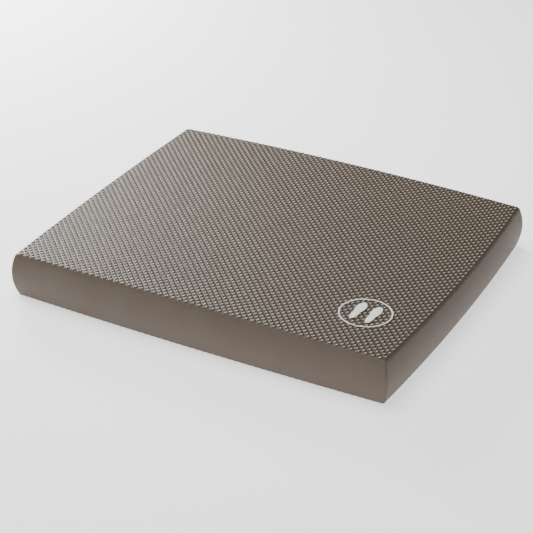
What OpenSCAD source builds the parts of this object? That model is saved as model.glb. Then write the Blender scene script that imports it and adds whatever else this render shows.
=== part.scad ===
// Balance pad: a block of closed-cell foam inside its own moulded skin.
// +X runs along the length, +Y along the depth and +Z up.
// The origin is the middle of the underside.

/* [Pad] */
// Overall length, across the fullest part of the two end walls
pad_length = 500; // [400:5:600]
// Overall depth, across the fullest part of the front and back walls
pad_depth = 410; // [300:5:500]
// Overall height, from the floor to the tops of the studs
pad_height = 60; // [50:1:70]
// How far each wall bulges past its own top and bottom edges
wall_bulge = 6; // [3:0.5:10]
// Radius of the rounded rim around the top
rim_radius = 3; // [1:0.5:3]

/* [Skin] */
// Thickness of the studded top skin, measured over its studs
top_skin_t = 4; // [1:0.5:6]
// Thickness of the grip skin underneath
bottom_skin_t = 2; // [1:0.5:5]
// Thickness of the skin on the four walls
side_skin_t = 2; // [1:0.5:5]

/* [Print] */
// How deep the printed ink lies in the top skin, with its face flush with the studs
ink_t = 0.3; // [0.1:0.1:0.8]
// Outer diameter of the printed ring
ring_d = 60; // [40:1:90]
// Width of the ring's line
ring_line = 1.4; // [0.8:0.1:4]
// Distance from the print's centre to the middle of the pad, along the length
print_x = 181; // [100:1:190]
// Distance from the print's centre to the middle of the pad, along the depth
print_y = 122; // [60:1:140]
// Length of each printed sole
sole_length = 38; // [20:1:46]
// Width of each printed sole across the ball of the foot
sole_width = 14; // [14:0.5:18]
// Width of each printed sole at the arch
sole_waist = 7.5; // [4:0.5:10]
// Distance between the middles of the two soles
sole_spacing = 19; // [19:0.5:26]

/* [Hidden] */

$fn = 180;
foam_colour = "#8a8078";
skin_colour = "#7a7067";
ink_colour = "#e9e6e1";

// Radius of the arc that each wall's section follows
wall_r = (pow(pad_height / 2, 2) + pow(wall_bulge, 2)) / (2 * wall_bulge);
// The rim's own arc lies inside the wall's arc and touches it at rim_join_z
rim_join_z = pad_height / 2 + (pad_height / 2 - rim_radius) * wall_r / (wall_r - rim_radius);
rim_reach = sqrt(pow(wall_r - rim_radius, 2) - pow(pad_height / 2 - rim_radius, 2));
// The walls meet on planes at 45 degrees that start this far from the middle
mitre_x = (pad_length - pad_depth) / 2;
mitre_reach = pad_depth;

// Radii of a sole's two round ends, and the distance between their centres
ball_r = sole_width / 2;
heel_r = ball_r * 0.78;
sole_span = sole_length - ball_r - heel_r;

// Height where the core and the walls' skin end and the top skin starts, never inside the rim's arc
core_top = min(pad_height - top_skin_t, rim_join_z);

// Section between two bulging walls whose fullest parts are span apart
module wall_section(span, radius) {
    arc_x = span / 2 - wall_r;
    intersection() {
        translate([-span / 2, 0]) square([span, rim_join_z]);
        union() {
            translate([-arc_x, 0]) square([2 * arc_x, pad_height]);
            for (side = [-1, 1]) translate([side * arc_x, pad_height / 2]) circle(radius);
        }
    }
}

// The same section closed by the rounded rim
module rim_section(span) {
    rim_x = span / 2 - wall_r + rim_reach;
    wall_section(span, wall_r);
    translate([-rim_x, 0]) square([2 * rim_x, pad_height]);
    for (side = [-1, 1]) translate([side * rim_x, pad_height - rim_radius]) circle(rim_radius);
}

// A section carried along the depth, which shapes the two end walls
module along_depth() {
    rotate([90, 0, 0]) linear_extrude(height = pad_depth, center = true) children();
}

// A section carried along the length, which shapes the front and back walls
module along_length() {
    rotate([90, 0, 90]) linear_extrude(height = pad_length, center = true) children();
}

// The pad's outer form with its rounded rim
module outer_block() {
    intersection() {
        along_depth() rim_section(pad_length);
        along_length() rim_section(pad_depth);
    }
}

// The pad's form drawn in by inset, up to where the rim starts
module wall_block(inset) {
    intersection() {
        along_depth() wall_section(pad_length, wall_r - inset);
        along_length() wall_section(pad_depth, wall_r - inset);
    }
}

// The layer of the pad between two heights
module layer(z_low, z_high) {
    translate([-pad_length / 2, -pad_depth / 2, z_low]) cube([pad_length, pad_depth, z_high - z_low]);
}

// Plan of the part of the pad that belongs to the right or the left wall
module end_plan() {
    polygon([[mitre_x, 0], [mitre_x + mitre_reach, -mitre_reach], [mitre_x + mitre_reach, mitre_reach]]);
}

// Plan of the part of the pad that belongs to the front or the back wall
module long_plan() {
    polygon([[-mitre_x, 0], [-mitre_x - mitre_reach, -mitre_reach],
             [mitre_x + mitre_reach, -mitre_reach], [mitre_x, 0]]);
}

// One wall's skin, cut from the whole band of side skin by the plan given as a child
module side_skin() {
    color(skin_colour) intersection() {
        difference() {
            wall_block(0);
            wall_block(side_skin_t);
        }
        layer(bottom_skin_t, core_top);
        linear_extrude(height = pad_height) children();
    }
}

module foam_core() {
    color(foam_colour) intersection() {
        wall_block(side_skin_t);
        layer(bottom_skin_t, core_top);
    }
}

// The top skin has a shallow bed for each print
module top_skin() {
    color(skin_colour) difference() {
        intersection() {
            outer_block();
            layer(core_top, pad_height);
        }
        printed_ring();
        printed_left_sole();
        printed_right_sole();
    }
}

module bottom_skin() {
    color(skin_colour) intersection() {
        wall_block(0);
        layer(0, bottom_skin_t);
    }
}

module side_skin_front() {
    side_skin() long_plan();
}

module side_skin_right() {
    side_skin() end_plan();
}

module side_skin_back() {
    side_skin() mirror([0, 1]) long_plan();
}

module side_skin_left() {
    side_skin() mirror([1, 0]) end_plan();
}

// Places a flat print in the top skin near the front right corner
module ink() {
    color(ink_colour) translate([print_x, -print_y, pad_height - ink_t])
        linear_extrude(height = ink_t) children();
}

module printed_ring() {
    ink() difference() {
        circle(d = ring_d);
        circle(d = ring_d - 2 * ring_line);
    }
}

// One sole, heel towards the front edge, with a waist at the arch
module sole() {
    translate([0, sole_length / 2 - ball_r]) {
        circle(ball_r);
        translate([0, -sole_span]) circle(heel_r);
        translate([-sole_waist / 2, -sole_span]) square([sole_waist, sole_span]);
    }
}

module printed_left_sole() {
    ink() translate([-sole_spacing / 2, 0]) sole();
}

module printed_right_sole() {
    ink() translate([sole_spacing / 2, 0]) sole();
}

foam_core();
top_skin();
bottom_skin();
side_skin_front();
side_skin_right();
side_skin_back();
side_skin_left();
printed_ring();
printed_left_sole();
printed_right_sole();
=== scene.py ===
# %% [markdown]
# # A foam balance pad
# The object is one block of closed-cell foam inside its own moulded skin: a studded top, a grip
# skin underneath and four smooth walls that bulge. It has no hard parts, so everything here is a
# soft surface worked out with numpy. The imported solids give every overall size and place.

# %% The frame
import math

import bpy
import numpy as np
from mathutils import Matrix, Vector


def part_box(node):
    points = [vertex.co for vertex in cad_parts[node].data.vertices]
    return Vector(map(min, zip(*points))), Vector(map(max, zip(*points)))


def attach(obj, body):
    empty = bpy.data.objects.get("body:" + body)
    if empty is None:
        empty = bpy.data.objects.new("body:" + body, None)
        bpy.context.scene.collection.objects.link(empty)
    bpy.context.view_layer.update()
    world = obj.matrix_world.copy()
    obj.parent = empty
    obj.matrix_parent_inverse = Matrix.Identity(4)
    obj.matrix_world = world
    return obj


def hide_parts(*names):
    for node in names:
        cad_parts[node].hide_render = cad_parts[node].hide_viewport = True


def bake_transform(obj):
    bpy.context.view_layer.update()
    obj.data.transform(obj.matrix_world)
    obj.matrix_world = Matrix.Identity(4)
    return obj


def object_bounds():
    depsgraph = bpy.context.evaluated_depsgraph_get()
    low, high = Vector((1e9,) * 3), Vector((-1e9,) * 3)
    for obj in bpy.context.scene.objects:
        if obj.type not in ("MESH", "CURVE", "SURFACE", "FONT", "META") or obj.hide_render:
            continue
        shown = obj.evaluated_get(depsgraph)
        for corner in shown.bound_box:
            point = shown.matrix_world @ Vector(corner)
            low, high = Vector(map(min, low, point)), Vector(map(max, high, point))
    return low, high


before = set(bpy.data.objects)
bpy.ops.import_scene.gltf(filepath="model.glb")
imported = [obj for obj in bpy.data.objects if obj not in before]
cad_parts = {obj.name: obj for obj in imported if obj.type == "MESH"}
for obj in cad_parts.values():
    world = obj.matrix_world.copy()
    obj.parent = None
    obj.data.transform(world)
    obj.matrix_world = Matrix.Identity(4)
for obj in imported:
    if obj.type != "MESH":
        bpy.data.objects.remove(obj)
cad_low, cad_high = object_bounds()
print("CAD box", tuple(cad_low), tuple(cad_high))

# %% [markdown]
# The overall size comes from the solids. A soft block is never quite a box, though, so a few
# measures say how it differs from one: how far the walls bulge, how far the sides bow between the
# corners, how much lower the top is at its two ends, and how round the edges are.

# %% Sizes
MM = 0.001
half_length = cad_high.x
half_depth = cad_high.y
height = cad_high.z
top_skin_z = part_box("top_skin")[0].z
bottom_skin_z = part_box("bottom_skin")[1].z

WALL_BULGE = 6 * MM       # each wall's middle stands this far outside its own top and bottom edges
SKIN_THICKNESS = 2 * MM   # of the four walls
END_BOW = 7 * MM          # the middles of the two ends stand this far outside their corners
SIDE_BOW = 4 * MM         # the middles of the front and the back stand this far outside theirs
END_DROP = 6 * MM         # the top is this much lower at the middle of its two ends than at its own
CORNER_LIFT = 0.5         # share of that drop which is gone again at the corners
CORNER_RADIUS = 2.5 * MM  # of the upright corners, in plan
RIM_RADIUS = 5 * MM       # of the rounded rim around the top
BASE_RADIUS = 1.5 * MM    # of the edge around the underside
SEAM_WIDTH = 1.0 * MM     # of the fine groove down each upright corner
SEAM_DEPTH = 0.9 * MM

wall_radius = ((height / 2) ** 2 + WALL_BULGE ** 2) / (2 * WALL_BULGE)
print(f"pad {2 * half_length:.3f} x {2 * half_depth:.3f} x {height:.3f} m, wall arc {wall_radius:.3f} m")

# %% [markdown]
# ## The form of the block
# A block like this could be sculpted, or modelled as one box with bevels and lattices, but then its
# skins would have to be cut apart again. Here every outer surface is first laid out on a plain block
# whose walls follow one arc, and then bent by the same three steps: the corners are rounded in plan,
# the sides bow and the ends drop. As all pieces go through the same steps, they meet without gaps,
# and no piece has to be fitted.

# %% The wall's arc
def wall_reach(z, inset=0.0):
    """How far a wall stands outside its own top edge at height z: the arc
    sqrt((R - inset)^2 - (z - H/2)^2) - (R - bulge), with R the wall's radius and H the height."""
    return np.sqrt((wall_radius - inset) ** 2 - (z - height / 2) ** 2) - (wall_radius - WALL_BULGE)


def half_sides(z, inset=0.0):
    """Half length and half depth of the plain block at height z."""
    reach = wall_reach(z, inset) - WALL_BULGE
    return half_length + reach, half_depth + reach


# %% Bending the plain block
def round_corners(x, y, half_x, half_y, radius=CORNER_RADIUS):
    """Squares of side r at the corners of the rectangle half_x by half_y become quarter discs: with
    d the place measured from the square's inner corner, d becomes d max(d) / |d|."""
    dx, dy = np.abs(x) - (half_x - radius), np.abs(y) - (half_y - radius)
    inside = (dx > 0) & (dy > 0)
    shrink = np.where(inside, np.maximum(dx, dy) / np.maximum(np.hypot(dx, dy), 1e-12), 1.0)
    new_x = np.where(inside, half_x - radius + dx * shrink, np.abs(x))
    new_y = np.where(inside, half_y - radius + dy * shrink, np.abs(y))
    return np.sign(x) * new_x, np.sign(y) * new_y


def soften(x, y, z):
    """The bow and the drop: x (1 - a (y/D)^2 / L), y (1 - b (x/L)^2 / D) and
    z (1 - e (x/L)^2 (1 - c (y/D)^2) / H), with L, D and H the half length, half depth and height, a
    and b the two bows, e the drop and c the corners' lift."""
    along, across = (x / half_length) ** 2, (y / half_depth) ** 2
    return (
        x * (1 - END_BOW / half_length * across),
        y * (1 - SIDE_BOW / half_depth * along),
        z * (1 - END_DROP / height * along * (1 - CORNER_LIFT * across)),
    )


# %% [markdown]
# ## Meshes from grids
# A piece of skin is a closed thin shell: an outer and an inner grid of points, and strips that join
# their edges. A Solidify modifier could thicken one grid instead, but it moves along the normals, so
# neighbouring pieces would cross or gape at the corners. The edges where a strip starts are marked
# sharp, so the broad faces stay smooth right up to them and two pieces that meet look like one
# surface.

# %% Closed shells
def grid_quads(numbers):
    """Corner numbers of the quads between the rows and columns of a grid of vertex numbers."""
    a, b = numbers[:-1, :-1], numbers[:-1, 1:]
    c, d = numbers[1:, 1:], numbers[1:, :-1]
    return np.stack([a, b, c, d], axis=-1).reshape(-1, 4)


def border(numbers):
    """The vertex numbers around a grid's edge, once each, in order."""
    return np.concatenate([numbers[0, :-1], numbers[:-1, -1], numbers[-1, :0:-1], numbers[:0:-1, 0]])


def make_mesh(name, points, quads, sharp_loops=(), triangles=()):
    """A mesh object of smooth faces, with the edges along sharp_loops, closed rings of vertex
    numbers, marked sharp."""
    mesh = bpy.data.meshes.new(name)
    faces = [quads] + ([triangles] if len(triangles) else [])
    corners = np.concatenate([part.ravel() for part in faces]).astype(np.int32)
    counts = np.concatenate([np.full(len(part), part.shape[1]) for part in faces])
    mesh.vertices.add(len(points))
    mesh.vertices.foreach_set("co", points.astype(np.float32).ravel())
    mesh.loops.add(len(corners))
    mesh.loops.foreach_set("vertex_index", corners)
    mesh.polygons.add(len(counts))
    mesh.polygons.foreach_set("loop_start", np.concatenate([[0], np.cumsum(counts)[:-1]]))
    mesh.polygons.foreach_set("use_smooth", np.ones(len(counts), bool))
    mesh.update(calc_edges=True)
    if len(sharp_loops):
        ends = np.empty(len(mesh.edges) * 2, np.int64)
        mesh.edges.foreach_get("vertices", ends)
        ends = np.sort(ends.reshape(-1, 2), axis=1)
        wanted = np.concatenate([np.stack([r, np.roll(r, -1)], axis=1) for r in sharp_loops])
        wanted = np.sort(wanted, axis=1)
        base = len(points)
        sharp = np.isin(ends[:, 0] * base + ends[:, 1], wanted[:, 0] * base + wanted[:, 1])
        flags = mesh.attributes.new("sharp_edge", "BOOLEAN", "EDGE")
        flags.data.foreach_set("value", sharp)
    mesh.validate()
    piece = bpy.data.objects.new(name, mesh)
    bpy.context.scene.collection.objects.link(piece)
    print(f"{name}: {len(points)} vertices, {len(counts)} faces")
    return piece


def shell(name, outer, inner):
    """A closed shell between two grids of points of the same size. Seen from outside, the outer
    grid's rows and columns turn anticlockwise, so its faces point out."""
    rows, columns = outer.shape[:2]
    number = np.arange(rows * columns).reshape(rows, columns)
    outer_ring, inner_ring = border(number), border(number + rows * columns)
    strip = np.stack([outer_ring, inner_ring, np.roll(inner_ring, -1), np.roll(outer_ring, -1)], axis=1)
    quads = np.concatenate([grid_quads(number), grid_quads(number + rows * columns)[:, ::-1], strip])
    points = np.concatenate([outer.reshape(-1, 3), inner.reshape(-1, 3)])
    return make_mesh(name, points, quads, sharp_loops=(outer_ring, inner_ring))


# %% [markdown]
# ## The studded skins
# Both broad faces are moulded with a close field of small round studs for grip. They sit on a square
# grid turned by 45 degrees: in every row the studs are one pitch apart, and the next row is shifted
# by half a pitch. Copies of one stud would stand on the skin without growing out of it, and a bump in
# the material would leave the outline flat. So a height is worked out at every point of a fine grid,
# which makes about five thousand studs at once as part of the skin.

# %% The stud field
ROWS_ALONG, ROWS_ACROSS = 56, 45   # pitches along the length and along the depth
TOP_STUD = 1.3 * MM                # height of a stud on the top
GRIP_STUD = 0.8 * MM               # height of a stud underneath
STUD_FOOT = 0.41                   # a stud's foot radius as a share of the way to its neighbour
FOOT_BLEND = 0.1                   # how softly a stud runs out into the skin, as a share of its height


def stud_relief(u, v, pitch_x, pitch_y):
    """Height from 0 to 1 of the stud field at the place (u, v). Studs stand where u / (pitch_x/2) and
    v / (pitch_y/2) are whole numbers with an even sum. Each is a paraboloid t = 1 - (r/foot)^2 with
    r the distance to the nearest stud, joined to the skin by (t + sqrt(t^2 + k^2)) / 2, with k
    the blend at the foot."""
    gu, gv = 2 * u / pitch_x, 2 * v / pitch_y
    fu, fv = np.abs(gu - np.round(gu)), np.abs(gv - np.round(gv))
    odd = (np.round(gu) + np.round(gv)).astype(int) % 2 == 1
    du = np.where(odd & (fu >= fv), 1 - fu, fu) * pitch_x / 2
    dv = np.where(odd & (fu < fv), 1 - fv, fv) * pitch_y / 2
    foot = STUD_FOOT * math.hypot(pitch_x, pitch_y) / 2
    t = 1 - (du ** 2 + dv ** 2) / foot ** 2
    return (t + np.sqrt(t ** 2 + FOOT_BLEND ** 2)) / 2


# %% [markdown]
# ## A broad skin and its rim
# A studded skin is one grid that runs over the flat, around the rim's small arc and down to where
# the wall begins. The grid's lines are the same in both directions, so on the plain block the two
# rims cross at each corner like a mitre. The studs are pushed out along the surface's own slope and
# die away over the rim, which leaves the scalloped edge of a moulded skin.

# %% Around the rim
ARC_STEPS = 7      # points along the rim's arc
LEAST_STEP = 0.3   # the last line before an edge keeps at least this share of a step from it


def rim_profile(flat, radius, seam):
    """The section from the edge of a broad face to its seam with the wall, as (outward distance,
    drop, distance along the surface). flat and seam are heights above or below the pad's middle.
    The rim's arc lies inside the wall's arc and touches it where both point the same way."""
    centre = math.sqrt((wall_radius - radius) ** 2 - (flat - radius) ** 2)
    touch = math.atan2(flat - radius, centre)
    turn = np.linspace(math.pi / 2, touch, ARC_STEPS)
    level = np.append(flat - radius + radius * np.sin(turn), seam)
    reach = np.append(centre + radius * np.cos(turn), math.sqrt(wall_radius ** 2 - seam ** 2))
    along = np.concatenate([[0], np.cumsum(np.hypot(np.diff(level), np.diff(reach)))])
    edge = half_length - wall_radius + centre
    return edge, reach - centre, flat - level, along


def axis_samples(edge, outward, along, pitch, per_pitch):
    """Places of the grid lines along one direction: every pitch / per_pitch over the flat, then down
    the rim at both ends. Returns them on the block and measured along the surface."""
    step = pitch / per_pitch
    count = int(edge / step - LEAST_STEP)
    flat = np.concatenate([[-edge], np.arange(-count, count + 1) * step, [edge]])
    block = np.concatenate([-(edge + outward[:0:-1]), flat, edge + outward[1:]])
    surface = np.concatenate([-(edge + along[:0:-1]), flat, edge + along[1:]])
    return block, surface


def outward_normals(points):
    """Unit normals of a grid of points: the cross product of its two directions."""
    normal = np.cross(np.gradient(points, axis=1), np.gradient(points, axis=0))
    return normal / np.linalg.norm(normal, axis=-1, keepdims=True)


# %% The studded surface
STUDS_END = 0.8   # share of the way down the rim at which the last trace of a stud is gone


def studded_surface(side, stud, radius, seam_z, per_pitch):
    """A studded skin's grid: its points, their stud relief, and the share of the stud field that is
    left there. side is 1 for the top and -1 for the underside. The plain block gives
    z = H/2 + side (flat - drop), with the drop taken from the direction that is further past its
    edge. The field dies away down the rim as cos^2, and the studs then rise along the normals."""
    flat = height / 2 - stud
    edge, outward, drop, along = rim_profile(flat, radius, abs(seam_z - height / 2))
    edge_y = edge - half_length + half_depth
    x, u = axis_samples(edge, outward, along, pitch_x, per_pitch)
    y, v = axis_samples(edge_y, outward, along, pitch_y, per_pitch)
    x, y = np.meshgrid(x, y)
    u, v = np.meshgrid(u, v)
    past = np.maximum(np.maximum(np.abs(x) - edge, np.abs(y) - edge_y), 0)
    z = height / 2 + side * (flat - np.interp(past, outward, drop))
    x, y = round_corners(x, y, edge + past, edge_y + past)
    points = np.stack(soften(x, y, z), axis=-1)
    down_rim = np.maximum(np.maximum(np.abs(u) - edge, np.abs(v) - edge_y), 0) / along[-1]
    fade = np.cos(np.clip(down_rim / STUDS_END, 0, 1) * math.pi / 2) ** 2
    relief = stud_relief(u, v, pitch_x, pitch_y) * fade
    return points + side * outward_normals(points) * (stud * relief)[..., None], relief, fade


# %% [markdown]
# The hidden side of each skin lies on the foam. One big face could close it, but a face with so many
# corners shades and exports badly. Rings that shrink towards the middle start from the rim's own
# vertices, so the shell is closed and made of plain quads, with one small fan in the middle.

# %% Rings
def ring_quads(numbers):
    """Quads between closed rings of vertex numbers, one ring in each row."""
    return grid_quads(np.concatenate([numbers, numbers[:, :1]], axis=1))


def fan(middle, ring):
    """Triangles from one vertex to a ring. The ring turns anticlockwise seen from the fan's front."""
    return np.stack([np.full(len(ring), middle), ring, np.roll(ring, -1)], axis=1)


def shrunk_rings(loop, level, count):
    """Rings inside a loop of points, from the smallest to the largest, at the plain block's height
    level. The shares of the loop's size are 1/(count + 1), 2/(count + 1) and so on."""
    share = np.arange(1, count + 1)[:, None] / (count + 1)
    x, y = share * loop[:, 0], share * loop[:, 1]
    return np.stack([x, y, soften(x, y, level)[2]], axis=-1)


# %% A studded skin
HIDDEN_RINGS = 3


def studded_skin(name, side, stud, radius, seam_z, per_pitch):
    """The closed mesh of a studded skin. The relief, and the share of the stud field that is left
    on the rim, stay on it as vertex attributes."""
    points, relief, fade = studded_surface(side, stud, radius, seam_z, per_pitch)
    number = np.arange(relief.size).reshape(relief.shape)
    edge = border(number)
    points = points.reshape(-1, 3)
    inner = shrunk_rings(points[edge], seam_z, HIDDEN_RINGS)
    rings = np.arange(inner.shape[0] * inner.shape[1]).reshape(inner.shape[:2]) + relief.size
    middle = relief.size + rings.size
    quads = np.concatenate([grid_quads(number), ring_quads(np.concatenate([rings, edge[None]]))])
    triangles = fan(middle, rings[0])[:, ::-1]
    if side < 0:
        quads, triangles = quads[:, ::-1], triangles[:, ::-1]
    points = np.concatenate([points, inner.reshape(-1, 3), [[0, 0, seam_z]]])
    piece = make_mesh(name, points, quads, sharp_loops=(edge,), triangles=triangles)
    for attribute, grid in {"relief": relief, "studded": fade}.items():
        values = np.zeros(len(points), np.float32)
        values[: grid.size] = grid.ravel()
        piece.data.attributes.new(attribute, "FLOAT", "POINT").data.foreach_set("value", values)
    return piece


# %% Top and underside
TOP_SAMPLES, GRIP_SAMPLES = 10, 6   # grid lines in one pitch of the studs

flat_edge = rim_profile(height / 2 - TOP_STUD, RIM_RADIUS, top_skin_z - height / 2)[0]
pitch_x = 2 * flat_edge / ROWS_ALONG
pitch_y = 2 * (flat_edge - half_length + half_depth) / ROWS_ACROSS
top_skin = studded_skin("studded_top_skin", 1, TOP_STUD, RIM_RADIUS, top_skin_z, TOP_SAMPLES)
grip_skin = studded_skin("studded_grip_skin", -1, GRIP_STUD, BASE_RADIUS, bottom_skin_z, GRIP_SAMPLES)
print(f"studs are {pitch_x / MM:.2f} mm apart along the pad and {pitch_y / MM:.2f} mm across it")

# %% [markdown]
# ## The four walls
# Each wall is a shell between the wall's arc and the same arc drawn in by the skin's thickness. It
# ends on the diagonal of each corner, where the pad has a fine upright groove. The groove could be cut
# afterwards, but as a dip in the wall's own formula it costs no extra faces and can't leave a crack.

# %% A wall's grid
SIDES = {"front": (1, False), "right": (1, True), "back": (-1, False), "left": (-1, True)}
GROOVE_END = 4 * MM   # the groove fades out over this height below the rim
CROWDING = 1.6        # how much closer together a wall's columns stand at its ends, 1 being evenly


def wall_grid(turn, is_end, inset, columns, rows):
    """Grid of one wall, seen from outside. s runs from -1 to 1 along it, denser at its ends. The
    front wall is (s A(z), -B(z), z), with A and B the block's half sides at z, and an end wall is
    (A(z), s B(z), z). turn = -1 turns it half round. The groove then draws the outer face in by
    g exp(-(distance to the corner / w)^2)."""
    even = np.linspace(-1, 1, columns)
    s, z = np.meshgrid(
        np.sign(even) * (1 - (1 - np.abs(even)) ** CROWDING),
        np.linspace(bottom_skin_z, top_skin_z, rows),
    )
    half_x, half_y = half_sides(z, inset)
    x, y = (half_x, s * half_y) if is_end else (s * half_x, -half_y)
    x, y = round_corners(turn * x, turn * y, half_x, half_y, CORNER_RADIUS - inset)
    if inset == 0:
        to_corner = (1 - np.abs(s)) * (half_y if is_end else half_x)
        fade = np.clip((top_skin_z - z) / GROOVE_END, 0, 1)
        groove = SEAM_DEPTH * fade * np.exp(-((to_corner / SEAM_WIDTH) ** 2))
        x, y = x * (1 - groove / np.hypot(x, y)), y * (1 - groove / np.hypot(x, y))
    return np.stack(soften(x, y, z), axis=-1)


# %% Four shells
WALL_COLUMNS, WALL_ROWS = 150, 32
wall_skins = {}
for side, (turn, is_end) in SIDES.items():
    outer = wall_grid(turn, is_end, 0.0, WALL_COLUMNS, WALL_ROWS)
    inner = wall_grid(turn, is_end, SKIN_THICKNESS, WALL_COLUMNS, WALL_ROWS)
    wall_skins[side] = shell(f"{side}_wall_skin", outer, inner)

# %% [markdown]
# ## The foam inside
# One block of closed-cell foam fills the space between the skins. It is hidden, but it is what the
# user stands on, so it is its own closed piece.

# %% Stacks of rings
def ring_stack(name, rings, low, high, sharp=()):
    """A closed mesh from rings that turn anticlockwise seen from above. They go out from the point
    low, up, and back in to the point high. sharp lists the rings whose edges are sharp."""
    number = np.arange(rings.shape[0] * rings.shape[1]).reshape(rings.shape[:2])
    points = np.concatenate([rings.reshape(-1, 3), [low, high]])
    ends = np.concatenate([fan(number.size, number[0])[:, ::-1], fan(number.size + 1, number[-1])])
    return make_mesh(name, points, ring_quads(number), [number[k] for k in sharp], ends)


# %% The block
CORE_COLUMNS, CORE_ROWS = 40, 14
around = [wall_grid(turn, is_end, SKIN_THICKNESS, CORE_COLUMNS, CORE_ROWS)[:, :-1]
          for turn, is_end in SIDES.values()]
core_wall = np.concatenate(around, axis=1)
core_rings = np.concatenate([
    shrunk_rings(core_wall[0], bottom_skin_z, HIDDEN_RINGS),
    core_wall,
    shrunk_rings(core_wall[-1], top_skin_z, HIDDEN_RINGS)[::-1],
])
core_edges = (HIDDEN_RINGS, HIDDEN_RINGS + CORE_ROWS - 1)
foam = ring_stack("foam_filling", core_rings, (0, 0, bottom_skin_z), (0, 0, top_skin_z), core_edges)

# %% [markdown]
# ## The print
# A pad like this has a small white print near one corner. Here it is a plain ring around the soles
# of two feet, which says where to stand. It could be painted into the skin's material, but then it
# would have no edge of its own. The ink is a thin film over the studs that bridges the pits between
# them and sags a little, so each print is a closed shell worked out from the stud field.

# %% The ink's surface
INK_LIFT = 0.2 * MM    # how far the film stands over the studs
INK_ROOT = 0.3 * MM    # how far its hidden face lies under them
INK_SAG = 0.3          # share of a pit's depth that the film follows


def on_studs(x, y, lift):
    """The studded top's point at the plain block's place (x, y), raised by lift. The film bridges
    the pits, so only a share of their depth shows in it."""
    relief = 1 - INK_SAG * (1 - stud_relief(x, y, pitch_x, pitch_y))
    return np.stack(soften(x, y, height - TOP_STUD * (1 - relief) + lift), axis=-1)


def middle_and_size(node):
    """The middle and the size of a CAD node's box, seen from above."""
    low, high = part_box(node)
    return (low.x + high.x) / 2, (low.y + high.y) / 2, high.x - low.x, high.y - low.y


# %% The ring
RING_LINE = 1.4 * MM               # width of the ring's line
RING_COLUMNS, RING_ROWS = 300, 4   # points around the ring and across its line

centre_x, centre_y, ring_size, _ = middle_and_size("printed_ring")
turn, share = np.meshgrid(
    np.arange(RING_COLUMNS) / RING_COLUMNS * 2 * math.pi,
    np.linspace(0, 1, RING_ROWS),
)
reach = ring_size / 2 - share * RING_LINE
x, y = centre_x + reach * np.cos(turn), centre_y + reach * np.sin(turn)
band = np.concatenate([on_studs(x, y, INK_LIFT), on_studs(x, y, -INK_ROOT)[::-1]])
number = np.arange(band.shape[0] * band.shape[1]).reshape(band.shape[:2])
ring_print = make_mesh(
    "ring_print",
    band.reshape(-1, 3),
    ring_quads(np.concatenate([number, number[:1]])),
    sharp_loops=[number[0], number[RING_ROWS - 1], number[RING_ROWS], number[-1]],
)

# %% [markdown]
# A sole is an ellipse whose width is scaled along its length: full at the ball, drawn in at the
# waist and narrower at the heel. Rings from its edge to its middle carry the film over the studs.

# %% The soles
SOLE_COLUMNS, SOLE_RINGS = 96, 16   # points around a sole and rings from its middle to its edge


def sole_width(v):
    """Share of the full width at v, from -1 at the heel to 1 at the toes:
    0.8 + 0.2 v - 0.2 exp(-((v + 0.15) / 0.3)^2)."""
    return 0.8 + 0.2 * v - 0.2 * np.exp(-(((v + 0.15) / 0.3) ** 2))


def sole(name, node):
    """A sole's closed film, in the place and size of its CAD node."""
    middle_x, middle_y, width, length = middle_and_size(node)
    turn, share = np.meshgrid(
        np.arange(SOLE_COLUMNS) / SOLE_COLUMNS * 2 * math.pi,
        np.arange(1, SOLE_RINGS + 1) / SOLE_RINGS,
    )
    v = share * np.sin(turn)
    x = middle_x + width / 2 * share * sole_width(np.sin(turn)) * np.cos(turn)
    y = middle_y + length / 2 * v
    rings = np.concatenate([on_studs(x, y, -INK_ROOT), on_studs(x, y, INK_LIFT)[::-1]])
    low, high = (on_studs(middle_x, middle_y, lift) for lift in (-INK_ROOT, INK_LIFT))
    return ring_stack(name, rings, low, high, sharp=(SOLE_RINGS - 1, SOLE_RINGS))


left_sole = sole("left_sole_print", "printed_left_sole")
right_sole = sole("right_sole_print", "printed_right_sole")

# %% [markdown]
# ## Finishes
# Everything you see is one moulded, closed-cell foam skin in a warm grey-brown, and white ink. The
# materials are made of nodes in code. One small function adds a node with its settings and links, so
# a material reads from top to bottom like a recipe.

# %% Node helpers
def linear(hex_colour):
    """An sRGB hex colour as linear RGBA."""
    value = np.array([int(hex_colour[k:k + 2], 16) for k in (1, 3, 5)]) / 255
    value = np.where(value <= 0.04045, value / 12.92, ((value + 0.055) / 1.055) ** 2.4)
    return (*value.tolist(), 1.0)


def add(tree, kind, inputs=None, **settings):
    """Adds a node. settings are its own properties. inputs gives its sockets by name or number: a
    number, a colour, or another node's output to link."""
    node = tree.nodes.new(kind)
    for name, value in settings.items():
        setattr(node, name, value)
    for socket, value in (inputs or {}).items():
        if isinstance(value, bpy.types.NodeSocket):
            tree.links.new(value, node.inputs[socket])
        else:
            node.inputs[socket].default_value = value
    return node


def new_material(name):
    """An empty node material, its tree and its Object coordinates."""
    material = bpy.data.materials.new(name)
    material.use_nodes = True
    material.node_tree.nodes.clear()
    place = add(material.node_tree, "ShaderNodeTexCoord").outputs["Object"]
    return material, material.node_tree, place


def per(size_mm):
    """The scale of a pattern whose features are size_mm apart, on coordinates in metres."""
    return 1 / (size_mm * MM)
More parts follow.
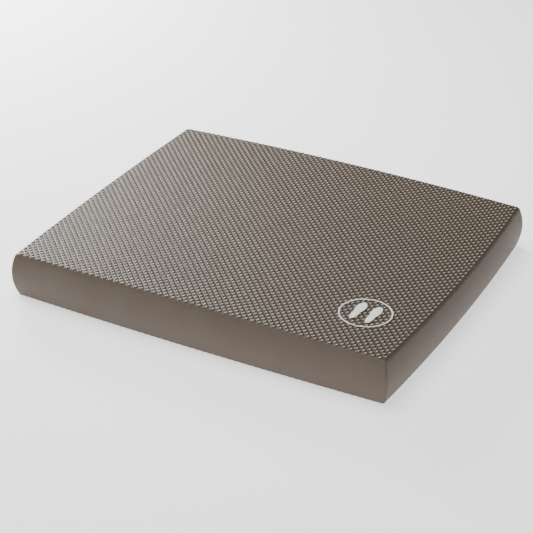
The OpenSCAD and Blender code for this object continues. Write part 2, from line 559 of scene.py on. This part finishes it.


# %% [markdown]
# The skin is foam whose outer cells closed up against the hot mould, so it is dense and matt with a
# little satin. Soft clouds in the colour keep it from looking painted, and a fine grain gives the
# cells. On the stud field the colour carries painted shade between the studs and a painted highlight
# on their tips. A pattern laid over the skin would have to be lined up with the studs, so the colour
# reads the relief that the mesh carries.

# %% Moulded foam skin
CLOUD_SIZE = 45     # mm across one cloud of the colour
GRAIN_SIZE = 1.6    # mm. The real cells are about 0.5 mm across, which is too fine to show.
HIGHLIGHT_START = 0.7     # share of a stud's height at which the painted highlight on its tip begins
HIGHLIGHT_FULL = 0.9      # share of its height at which the painted highlight is at its strongest
HIGHLIGHT_SHARE = 0.9  # share of the highlight's pale colour there


def moulded_skin(name, colour, pale, painted_pit_shade=None, painted_tip_highlight=None, rough=0.6):
    """Closed-cell foam with the dense skin that a hot mould gives it: matt, a little satin at a
    glance, with faint clouds of paler grey and a fine grain of cells. In the stud field the colour
    is darkened towards the pit colour as painted shade between the studs, and goes to a pale
    painted highlight on their tips."""
    material, tree, place = new_material(name)
    clouds = add(tree, "ShaderNodeTexNoise", {"Vector": place, "Scale": per(CLOUD_SIZE), "Detail": 3.0})
    grain = add(tree, "ShaderNodeTexNoise", {"Vector": place, "Scale": per(GRAIN_SIZE), "Detail": 2.0})
    cloud_share = add(tree, "ShaderNodeMapRange", {
        "Value": clouds.outputs["Fac"], "From Min": 0.35, "From Max": 0.7, "To Max": 0.5})
    base = add(tree, "ShaderNodeMix", {
        "Factor": cloud_share.outputs["Result"], 6: linear(colour), 7: linear(pale)}, data_type="RGBA")
    tint = base.outputs[2]
    # Painted shade and painted highlight: the stud field is darkened towards the pit colour, and the
    # stud tips are lightened by their relief.
    if painted_tip_highlight:
        field = add(tree, "ShaderNodeAttribute", attribute_name="studded")
        pits = add(tree, "ShaderNodeMix", {
            "Factor": field.outputs["Fac"], 6: tint, 7: linear(painted_pit_shade)}, data_type="RGBA")
        relief = add(tree, "ShaderNodeAttribute", attribute_name="relief")
        highlight_share = add(tree, "ShaderNodeMapRange", {
            "Value": relief.outputs["Fac"],
            "From Min": HIGHLIGHT_START,
            "From Max": HIGHLIGHT_FULL,
            "To Max": HIGHLIGHT_SHARE,
        })
        studs = add(tree, "ShaderNodeMix", {
            "Factor": highlight_share.outputs["Result"],
            6: pits.outputs[2],
            7: linear(painted_tip_highlight),
        }, data_type="RGBA")
        tint = studs.outputs[2]
    roughness = add(tree, "ShaderNodeMapRange", {
        "Value": grain.outputs["Fac"], "To Min": rough - 0.08, "To Max": rough + 0.08})
    bump = add(tree, "ShaderNodeBump", {
        "Height": grain.outputs["Fac"], "Strength": 0.12, "Distance": 0.4 * MM})
    shader = add(tree, "ShaderNodeBsdfPrincipled", {
        "Base Color": tint,
        "Roughness": roughness.outputs["Result"],
        "IOR": 1.5,
        "Specular IOR Level": 0.3,
        "Normal": bump.outputs["Normal"],
    })
    add(tree, "ShaderNodeOutputMaterial", {"Surface": shader.outputs["BSDF"]})
    return material


# The pit colours below are painted shade between the studs, and the pale stud colours are painted
# highlights on their tips.
tread_finish = moulded_skin(
    "moulded_foam_skin_tread", "#665A4F", "#6E6358", painted_pit_shade="#493F35", painted_tip_highlight="#D6C5B2", rough=0.5)
wall_finish = moulded_skin("moulded_foam_skin_wall", "#5E5248", "#665B50")
grip_finish = moulded_skin(
    "moulded_foam_skin_grip", "#62564B", "#6A5F54", painted_pit_shade="#52473E", painted_tip_highlight="#7C7064")


# %% [markdown]
# The filling only shows where a pad is cut open. There the cells are open bubbles, so a Voronoi
# pattern, whose spots pack together as bubbles do, gives both the tint and the pitted surface.

# %% Cut foam
def cut_foam(name):
    """The raw closed cells of the filling: paler than the skin and pitted all over."""
    material, tree, place = new_material(name)
    # Real cells are about 0.5 mm across. They are drawn at 2 mm, so that they show.
    cells = add(tree, "ShaderNodeTexVoronoi", {"Vector": place, "Scale": per(2)})
    tint = add(tree, "ShaderNodeMix", {
        "Factor": cells.outputs["Distance"],
        6: linear("#8C837B"),
        7: linear("#6E655D"),
    }, data_type="RGBA")
    bump = add(tree, "ShaderNodeBump", {
        "Height": cells.outputs["Distance"], "Strength": 0.5, "Distance": 0.6 * MM})
    shader = add(tree, "ShaderNodeBsdfPrincipled", {
        "Base Color": tint.outputs[2], "Roughness": 0.9, "Normal": bump.outputs["Normal"]})
    add(tree, "ShaderNodeOutputMaterial", {"Surface": shader.outputs["BSDF"]})
    return material


foam_finish = cut_foam("closed_cell_foam")


# %% [markdown]
# The print is screen ink with a soft binder, which bends with the foam. It is nearly opaque, and
# noise thins it in small flecks, because an even white would look like a sticker.

# %% Flexible ink
def screen_ink(name):
    """Flexible white screen ink: matt, nearly opaque, thinned by noise in small flecks, so some
    of the skin's brown comes through."""
    material, tree, place = new_material(name)
    flecks = add(tree, "ShaderNodeTexNoise", {"Vector": place, "Scale": per(2.5), "Detail": 4.0})
    thin = add(tree, "ShaderNodeMapRange", {
        "Value": flecks.outputs["Fac"], "From Min": 0.55, "From Max": 0.75, "To Max": 0.15})
    tint = add(tree, "ShaderNodeMix", {
        "Factor": thin.outputs["Result"], 6: linear("#FAF9F7"), 7: linear("#C9C4BE")}, data_type="RGBA")
    bump = add(tree, "ShaderNodeBump", {
        "Height": flecks.outputs["Fac"], "Strength": 0.1, "Distance": 0.2 * MM})
    shader = add(tree, "ShaderNodeBsdfPrincipled", {
        "Base Color": tint.outputs[2], "Roughness": 0.55, "Normal": bump.outputs["Normal"]})
    add(tree, "ShaderNodeOutputMaterial", {"Surface": shader.outputs["BSDF"]})
    return material


ink_finish = screen_ink("white_screen_ink")

# %% [markdown]
# ## Joining the pieces to the frame
# The walls and the filling stay where they are. The top skin and the prints go with the standing
# surface, and the grip skin with the foam block.


def settle(piece, finish, node):
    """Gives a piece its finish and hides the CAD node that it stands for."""
    piece.data.materials.append(finish)
    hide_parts(node)


for side, piece in wall_skins.items():
    settle(piece, wall_finish, f"side_skin_{side}")
settle(foam, foam_finish, "foam_core")
for piece in [*wall_skins.values(), foam]:
    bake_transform(piece)

settle(top_skin, tread_finish, "top_skin")
settle(grip_skin, grip_finish, "bottom_skin")
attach(top_skin, "standing_surface")
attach(grip_skin, "foam_block")
prints = {ring_print: "printed_ring", left_sole: "printed_left_sole", right_sole: "printed_right_sole"}
for piece, node in prints.items():
    settle(piece, ink_finish, node)
    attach(piece, "standing_surface")

# %% [markdown]
# ## Studio
# The pad lies on a white sheet that is lit from below, as on a light table. That keeps the ground
# pale and lights the lower halves of the bulging walls, which no lamp above the pad can reach.

# %% Floor
FLOOR_GLOW = 1.15   # strength of the light that comes up through the sheet
FLOOR_HALF = 6.0    # half the sheet's side


def plain_floor(half_size):
    """A flat square at z = 0 of matt, slightly uneven white sheet that glows."""
    corners = np.array([[-1, -1, 0], [1, -1, 0], [1, 1, 0], [-1, 1, 0]]) * half_size
    floor = make_mesh("studio_floor", corners, np.array([[0, 1, 2, 3]]))
    material, tree, place = new_material("matt_white_floor")
    clouds = add(tree, "ShaderNodeTexNoise", {"Vector": place, "Scale": per(300)})
    tint = add(tree, "ShaderNodeMix", {
        "Factor": clouds.outputs["Fac"], 6: linear("#F3F3F2"), 7: linear("#EFEFEE")}, data_type="RGBA")
    shader = add(tree, "ShaderNodeBsdfPrincipled", {
        "Base Color": tint.outputs[2],
        "Roughness": 0.9,
        "Specular IOR Level": 0.2,
        "Emission Color": linear("#FFFFFF"),
        "Emission Strength": FLOOR_GLOW,
    })
    add(tree, "ShaderNodeOutputMaterial", {"Surface": shader.outputs["BSDF"]})
    floor.data.materials.append(material)
    return floor


plain_floor(FLOOR_HALF)


# %% [markdown]
# Two lamps at the left graze the studs, so that their tips catch light and the top fades from left
# to right. A broad softbox overhead keeps the pits from going black, and two weak ones low down give
# the front and the right wall their own shade. The room itself is nearly dark, so the lamps decide.

# %% Lights
def area_light(name, place, aim, size, watts):
    """A square area lamp at place that looks at aim."""
    lamp = bpy.data.lights.new(name, "AREA")
    lamp.size = size
    lamp.energy = watts
    light = bpy.data.objects.new(name, lamp)
    light.location = place
    light.rotation_euler = (Vector(aim) - Vector(place)).to_track_quat("-Z", "Y").to_euler()
    bpy.context.scene.collection.objects.link(light)
    return light


pad_middle = (0, 0, height)
area_light("back_left_lamp", (-1.15, 0.75, 0.55), pad_middle, 0.3, 28)
area_light("low_left_lamp", (-1.1, 0.15, 0.4), pad_middle, 0.35, 6)
area_light("overhead_softbox", (-0.2, 0.0, 1.4), pad_middle, 0.9, 21)
area_light("low_front_softbox", (0.3, -1.8, 0.3), pad_middle, 1.2, 8)
area_light("low_right_softbox", (1.8, -0.7, 0.3), pad_middle, 1.2, 5)
world = bpy.data.worlds.new("dim_room")
world.use_nodes = True
room = world.node_tree.nodes["Background"].inputs
room["Color"].default_value = linear("#F2F4F6")
room["Strength"].default_value = 0.02
bpy.context.scene.world = world

# %% [markdown]
# The camera stands in front of the pad, to its right and above it, and looks through a long lens from
# two metres away, so the far edges stay nearly parallel to the near ones. It is placed on a sphere
# around the point that it looks at: an angle round the pad, an angle up, and a distance.

# %% Camera
CAMERA_TURN = math.radians(28.5)   # to the right of straight in front
CAMERA_RISE = math.radians(30.1)   # above the floor
CAMERA_DISTANCE = 1.951
CAMERA_LENS = 109.1                # mm

camera_aim = Vector((-0.0026, -0.0138, 0.0111))
lens = bpy.data.cameras.new("studio_camera")
lens.lens = CAMERA_LENS
camera = bpy.data.objects.new("studio_camera", lens)
back = Vector((
    math.sin(CAMERA_TURN) * math.cos(CAMERA_RISE),
    -math.cos(CAMERA_TURN) * math.cos(CAMERA_RISE),
    math.sin(CAMERA_RISE),
))
camera.location = camera_aim + back * CAMERA_DISTANCE
camera.rotation_euler = (-back).to_track_quat("-Z", "Y").to_euler()
bpy.context.scene.collection.objects.link(camera)
bpy.context.scene.camera = camera
